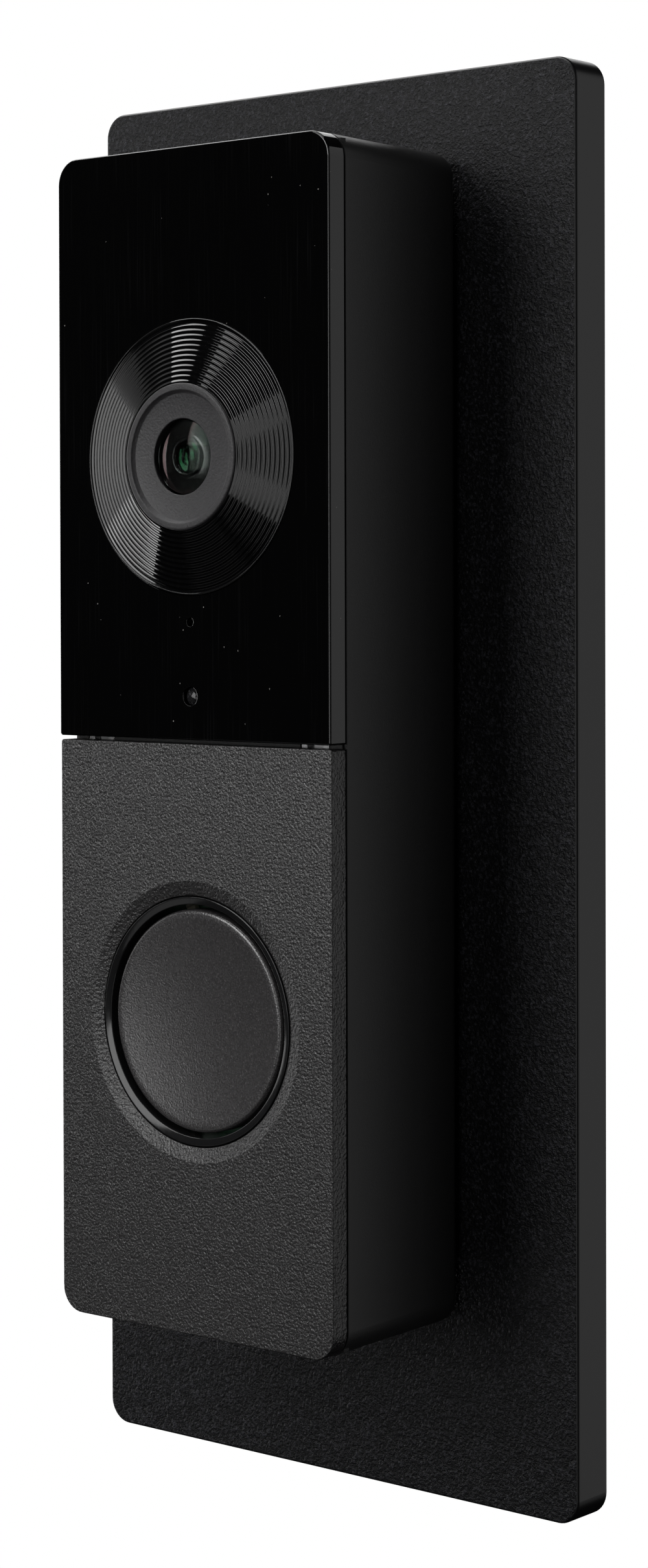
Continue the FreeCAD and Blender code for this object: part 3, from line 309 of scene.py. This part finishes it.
class Finish:
    """A procedural material under construction: a principled shader with textures in millimetres."""

    def __init__(self, name, colour, roughness, metallic=0.0, ior=1.5):
        self.material = bpy.data.materials.new(name)
        self.material.use_nodes = True
        self.tree = self.material.node_tree
        self.shader = self.tree.nodes["Principled BSDF"]
        self.set("Base Color", (*colour, 1))
        self.set("Roughness", roughness)
        self.set("Metallic", metallic)
        self.set("IOR", ior)
        self.colour = colour
        self.place = self.node("ShaderNodeTexCoord").outputs["Object"]
        self.normal = None

    def node(self, kind, **settings):
        """A new node of a kind, with its settings."""
        made = self.tree.nodes.new(kind)
        for name, value in settings.items():
            setattr(made, name, value)
        return made

    def set(self, socket, value):
        self.shader.inputs[socket].default_value = value

    def link(self, source, target):
        self.tree.links.new(source, target)

    def math(self, operation, first, second=0.0):
        """A calculation with one or two masks or numbers."""
        made = self.node("ShaderNodeMath", operation=operation)
        for socket, value in zip(made.inputs, (first, second)):
            if isinstance(value, (int, float)):
                socket.default_value = value
            else:
                self.link(value, socket)
        return made.outputs[0]

    def between(self, value, low, high):
        """Value from 0 to 1 spread over low to high."""
        made = self.node("ShaderNodeMapRange")
        self.link(value, made.inputs["Value"])
        made.inputs["To Min"].default_value = low
        made.inputs["To Max"].default_value = high
        return made.outputs[0]

    def contrast(self, mask):
        """The same mask with its middle values spread over the whole range."""
        made = self.node("ShaderNodeMapRange")
        self.link(mask, made.inputs["Value"])
        made.inputs["From Min"].default_value = 0.35
        made.inputs["From Max"].default_value = 0.7
        return made.outputs[0]

    def scaled(self, scale):
        """Object coordinates multiplied by a scale along each axis."""
        mapping = self.node("ShaderNodeMapping")
        self.link(self.place, mapping.inputs["Vector"])
        mapping.inputs["Scale"].default_value = scale
        return mapping.outputs[0]

    def noise(self, size, detail=2.0, stretch=(1, 1, 1)):
        """Noise with features of a size in millimetres, finer along an axis that is stretched above 1."""
        made = self.node("ShaderNodeTexNoise")
        self.link(self.scaled([s / (size * MM) for s in stretch]), made.inputs["Vector"])
        made.inputs["Scale"].default_value = 1.0
        made.inputs["Detail"].default_value = detail
        return made.outputs["Fac"]

    def specks(self, size, share):
        """Small round specks in a share of the cells of a size in millimetres."""
        reach = 0.16
        cells = self.node("ShaderNodeTexVoronoi")
        self.link(self.scaled([1 / (size * MM)] * 3), cells.inputs["Vector"])
        cells.inputs["Scale"].default_value = 1.0
        parts = self.node("ShaderNodeSeparateColor")
        self.link(cells.outputs["Color"], parts.inputs[0])
        chosen = self.math("LESS_THAN", parts.outputs[0], share)
        near = self.math("LESS_THAN", cells.outputs["Distance"], reach)
        return self.math("MULTIPLY", chosen, near)

    def vary_colour(self, mask, other):
        """Blend from the base colour to another where the mask is 1."""
        mix = self.node("ShaderNodeMix", data_type="RGBA")
        self.link(mask, mix.inputs["Factor"])
        source = self.shader.inputs["Base Color"]
        if source.is_linked:
            self.link(source.links[0].from_socket, mix.inputs["A"])
        else:
            mix.inputs["A"].default_value = (*self.colour, 1)
        mix.inputs["B"].default_value = (*other, 1)
        self.link(mix.outputs["Result"], source)

    def vary_roughness(self, mask, low, high):
        """Spread the roughness from low to high with a mask."""
        self.link(self.between(mask, low, high), self.shader.inputs["Roughness"])

    def rounded(self, radius):
        """Normals that round hard edges by a radius in millimetres."""
        bevel = self.node("ShaderNodeBevel", samples=4)
        bevel.inputs["Radius"].default_value = radius * MM
        return bevel.outputs[0]

    def soften_edges(self, radius):
        """Round hard edges in the shading, by a radius in millimetres."""
        self.normal = self.rounded(radius)

    def edge_mask(self, radius):
        """Rises where a hard edge is within a radius in millimetres, which is where wear gathers."""
        gain = 6.0
        dot = self.node("ShaderNodeVectorMath", operation="DOT_PRODUCT")
        self.link(self.rounded(radius), dot.inputs[0])
        self.link(self.node("ShaderNodeNewGeometry").outputs["Normal"], dot.inputs[1])
        return self.math("MULTIPLY", self.math("SUBTRACT", 1.0, dot.outputs["Value"]), gain)

    def facing(self, axis):
        """1 on faces that point along one axis or against it."""
        parts = self.node("ShaderNodeSeparateXYZ")
        self.link(self.node("ShaderNodeNewGeometry").outputs["True Normal"], parts.inputs[0])
        return self.math("GREATER_THAN", self.math("ABSOLUTE", parts.outputs[axis]), 0.95)

    def bump(self, height, depth, strength=1.0):
        """Relief from a height mask, its depth in millimetres."""
        made = self.node("ShaderNodeBump")
        made.inputs["Strength"].default_value = strength
        made.inputs["Distance"].default_value = depth * MM
        self.link(height, made.inputs["Height"])
        if self.normal is not None:
            self.link(self.normal, made.inputs["Normal"])
        self.normal = made.outputs[0]

    def done(self):
        """The finished material, with its relief and softened edges."""
        if self.normal is not None:
            self.link(self.normal, self.shader.inputs["Normal"])
        return self.material


def grained(name, colour, roughness, grain, depth, spread=0.06, wear=0.0, speckle=0.3, ior=1.5):
    """Moulded plastic, rubber or powder coat: fine relief, uneven gloss, and paler worn edges."""
    finish = Finish(name, colour, roughness, ior=ior)
    fine, broad = finish.noise(grain), finish.noise(grain * 40, detail=3)
    finish.vary_roughness(fine, roughness - spread, roughness + spread)
    cloudy, speckled = [c * 1.3 for c in colour], [c * 3.0 + 0.004 for c in colour]
    finish.vary_colour(finish.between(broad, 0.0, 0.4), cloudy)
    finish.vary_colour(finish.between(finish.contrast(fine), 0.0, speckle), speckled)
    if wear:
        worn = finish.math("MULTIPLY", finish.edge_mask(0.25), wear)
        finish.vary_colour(worn, [c * 2.2 + 0.01 for c in colour])
    finish.soften_edges(0.12)
    finish.bump(fine, depth)
    return finish.done()


def polished(name, colour, roughness, dust=0.012):
    """Polished black plastic with wipe marks, hairline scratches and a little dust."""
    finish = Finish(name, colour, roughness)
    smear = finish.noise(9, detail=4)
    hair = finish.noise(0.25, detail=1, stretch=(1, 1, 0.02))
    finish.vary_roughness(finish.math("MULTIPLY", smear, hair), roughness * 0.4, roughness * 2.6)
    thin_hair = finish.math("POWER", finish.contrast(hair), 5.0)
    scratches = finish.math("MULTIPLY", thin_hair, finish.contrast(smear))
    finish.vary_colour(scratches, (0.0045, 0.0045, 0.0048))
    motes = finish.specks(0.5, dust)
    finish.vary_colour(motes, (0.16, 0.15, 0.14))
    finish.soften_edges(0.06)
    finish.bump(motes, 0.02)
    return finish.done()


def plate_finish(name):
    """Coarse spark-eroded front and back with painted glints (bright specks in the colour), and smooth
    satin edges.
    """
    colour = (0.0045, 0.0045, 0.0050)
    edge_rough, face_rough = 0.33, 0.36
    edge_shine, face_shine = 0.5, 0.18
    finish = Finish(name, colour, 0.46)
    coarse, fine = finish.noise(0.34, detail=2), finish.noise(0.15, detail=1)
    face = finish.facing("Y")
    relief = finish.math("MULTIPLY", finish.math("ADD", coarse, finish.math("MULTIPLY", fine, 0.35)), face)
    finish.vary_roughness(face, edge_rough, face_rough)
    finish.link(finish.between(face, edge_shine, face_shine), finish.shader.inputs["Specular IOR Level"])
    finish.vary_colour(finish.math("MULTIPLY", finish.noise(14, detail=4), 0.6), [c * 1.5 for c in colour])
    # Painted glints: bright specks in the colour of the front and back where the coarse relief is high,
    # standing in for highlights.
    painted_glints = finish.math("MULTIPLY", finish.contrast(coarse), face)
    finish.vary_colour(finish.math("POWER", painted_glints, 3.0), (0.034, 0.034, 0.040))
    finish.bump(relief, 0.16)
    return finish.done()


def coated_glass(name, head_on, grazing, level):
    """Clear lens with a coating that weakens what it mirrors and colours it by the angle of view."""
    finish = Finish(name, (0.86, 0.9, 0.88), 0.02, ior=1.45)
    finish.set("Transmission Weight", 1.0)
    finish.set("Specular IOR Level", level)
    angle = finish.node("ShaderNodeLayerWeight")
    angle.inputs["Blend"].default_value = 0.5
    tint = finish.node("ShaderNodeValToRGB")
    for stop, place, colour in zip(tint.color_ramp.elements, (0.22, 0.36), (head_on, grazing)):
        stop.position, stop.color = place, (*colour, 1)
    finish.link(angle.outputs["Facing"], tint.inputs[0])
    finish.link(tint.outputs[0], finish.shader.inputs["Specular Tint"])
    finish.vary_roughness(finish.noise(1.5, detail=4), 0.0, 0.05)
    return finish.done()


def clear_moulding(name, colour, roughness, transmission):
    """Moulded clear or milky plastic with a slight ripple."""
    finish = Finish(name, colour, roughness, ior=1.45)
    finish.set("Transmission Weight", transmission)
    finish.vary_roughness(finish.noise(0.8, detail=3), roughness * 0.6, roughness * 1.5)
    finish.bump(finish.noise(2.5, detail=2), 0.02, 0.4)
    return finish.done()


def metal(name, colour, roughness, brush=(1, 1, 1), grain=0.3):
    """Bare metal, brushed along the axis whose stretch is small."""
    finish = Finish(name, colour, roughness, metallic=1.0)
    lines = finish.noise(grain, detail=3, stretch=brush)
    finish.vary_roughness(lines, roughness * 0.7, roughness * 1.4)
    finish.vary_colour(finish.between(finish.noise(5, detail=4), 0.0, 0.6), [c * 0.75 for c in colour])
    finish.soften_edges(0.08)
    finish.bump(lines, 0.01)
    return finish.done()


def circuit_board(name):
    """Green solder mask over a faint pattern of tracks, with dots of tin."""
    colour = (0.008, 0.075, 0.03)
    finish = Finish(name, colour, 0.32)
    tracks = finish.math("GREATER_THAN", finish.noise(1.6, detail=0, stretch=(1, 1, 0.25)), 0.52)
    finish.vary_colour(finish.math("MULTIPLY", tracks, 0.6), (0.012, 0.13, 0.05))
    finish.vary_colour(finish.specks(1.3, 0.14), (0.5, 0.5, 0.48))
    finish.bump(tracks, 0.03)
    return finish.done()


def film(name):
    """Amber flexible cable with copper lines under the film."""
    colour = (0.36, 0.15, 0.02)
    finish = Finish(name, colour, 0.25)
    lines = finish.math("GREATER_THAN", finish.noise(0.6, detail=0, stretch=(1, 0.05, 0.05)), 0.5)
    finish.vary_colour(finish.math("MULTIPLY", lines, 0.7), (0.55, 0.27, 0.08))
    finish.bump(lines, 0.01)
    return finish.done()


def woven(name):
    """Fine black acoustic mesh."""
    finish = Finish(name, (0.02, 0.02, 0.021), 0.6)
    threads = []
    for axis in ("X", "Y"):
        wave = finish.node("ShaderNodeTexWave", bands_direction=axis)
        finish.link(finish.place, wave.inputs["Vector"])
        wave.inputs["Scale"].default_value = 1 / (3.0 * MM)
        threads.append(wave.outputs["Fac"])
    finish.bump(finish.math("MAXIMUM", *threads), 0.05)
    finish.vary_colour(finish.math("MULTIPLY", *threads), (0.06, 0.06, 0.062))
    return finish.done()


FINISHES = {
    "plate_black": plate_finish,
    "housing_black": lambda n: grained(n, (0.012, 0.012, 0.0122), 0.42, 0.16, 0.012, wear=0.15),
    "fascia_gloss": lambda n: polished(n, (0.0012, 0.0012, 0.0013), 0.035),
    "cover_charcoal": lambda n: grained(n, (0.009, 0.0083, 0.0086), 0.30, 0.30, 0.13, spread=0.10,
                                        wear=0.2, speckle=0.5, ior=1.67),
    "trim_gloss": lambda n: polished(n, (0.002, 0.002, 0.0022), 0.05, dust=0.004),
    "bezel_grey": lambda n: grained(n, (0.020, 0.0190, 0.0205), 0.46, 0.24, 0.040, spread=0.08, wear=0.2),
    "coated_glass": lambda n: coated_glass(n, (0.008, 0.026, 0.015), (1.0, 0.40, 0.45), 0.28),
    "inner_glass": lambda n: coated_glass(n, (0.10, 0.50, 0.22), (0.5, 0.6, 0.55), 0.4),
    "clear_plastic": lambda n: clear_moulding(n, (0.12, 0.12, 0.13), 0.08, 0.9),
    "smoked_guide": lambda n: polished(n, (0.012, 0.012, 0.0125), 0.12, dust=0.004),
    "button_black": lambda n: grained(n, (0.030, 0.0282, 0.0290), 0.25, 0.20, 0.030, wear=0.1, ior=1.9),
    "barrel_black": lambda n: grained(n, (0.004, 0.004, 0.0042), 0.16, 0.1, 0.002, spread=0.03),
    "holder_black": lambda n: grained(n, (0.012, 0.012, 0.012), 0.5, 0.2, 0.02),
    "seal_rubber": lambda n: grained(n, (0.014, 0.014, 0.014), 0.7, 0.25, 0.02),
    "clear_silicone": lambda n: clear_moulding(n, (0.7, 0.7, 0.68), 0.35, 0.5),
    "foam_black": lambda n: grained(n, (0.012, 0.012, 0.013), 0.9, 0.5, 0.25),
    "bracket_steel": lambda n: grained(n, (0.012, 0.012, 0.013), 0.45, 0.35, 0.03, wear=0.5),
    "screw_steel": lambda n: metal(n, (0.5, 0.5, 0.51), 0.3),
    "screw_black": lambda n: grained(n, (0.014, 0.014, 0.015), 0.38, 0.2, 0.02, wear=0.6),
    "board_green": circuit_board,
    "chip_black": lambda n: grained(n, (0.012, 0.012, 0.013), 0.55, 0.15, 0.015),
    "lamp_white": lambda n: clear_moulding(n, (0.8, 0.76, 0.6), 0.3, 0.2),
    "flex_amber": film,
    "shield_tin": lambda n: metal(n, (0.6, 0.6, 0.6), 0.28, brush=(1, 1, 0.1)),
    "spreader_aluminium": lambda n: metal(n, (0.62, 0.63, 0.64), 0.33, brush=(1, 1, 0.08)),
    "pad_grey": lambda n: grained(n, (0.3, 0.32, 0.34), 0.7, 0.3, 0.03),
    "antenna_brass": lambda n: metal(n, (0.66, 0.47, 0.18), 0.3),
    "coil_ferrite": lambda n: grained(n, (0.05, 0.048, 0.048), 0.6, 0.25, 0.05),
    "sleeve_blue": lambda n: grained(n, (0.012, 0.03, 0.13), 0.3, 0.4, 0.01),
    "terminal_green": lambda n: grained(n, (0.012, 0.09, 0.045), 0.42, 0.2, 0.02),
    "cone_paper": lambda n: grained(n, (0.05, 0.046, 0.043), 0.75, 0.3, 0.04),
    "coil_copper": lambda n: metal(n, (0.6, 0.26, 0.11), 0.32, brush=(0.05, 0.05, 1), grain=0.12),
    "magnet_nickel": lambda n: metal(n, (0.58, 0.56, 0.53), 0.22),
    "mesh_black": woven,
}


def dress_nodes(turned):
    """Give every CAD node the finish of its slot, and every turned piece the finish named for it."""
    made = {name: build(name + "_finish") for name, build in FINISHES.items()}
    for part in frame["record"]["subparts"]:
        node = frame["nodes"][part["node"]]
        node.data.materials.clear()
        node.data.materials.append(made[part["material_slot"]])
    for piece, name in turned.items():
        piece.data.materials.append(made[name])


make_camera()
make_studio()
front_lens, lens_retainer, rear_lens = make_lenses()
turned = {
    make_trim_ring(): "trim_gloss",
    make_lens_bezel(): "bezel_grey",
    front_lens: "coated_glass",
    lens_retainer: "barrel_black",
    rear_lens: "inner_glass",
    make_light_ring(): "smoked_guide",
    make_button(): "button_black",
    make_dome(): "clear_silicone",
}
dress_nodes(turned)
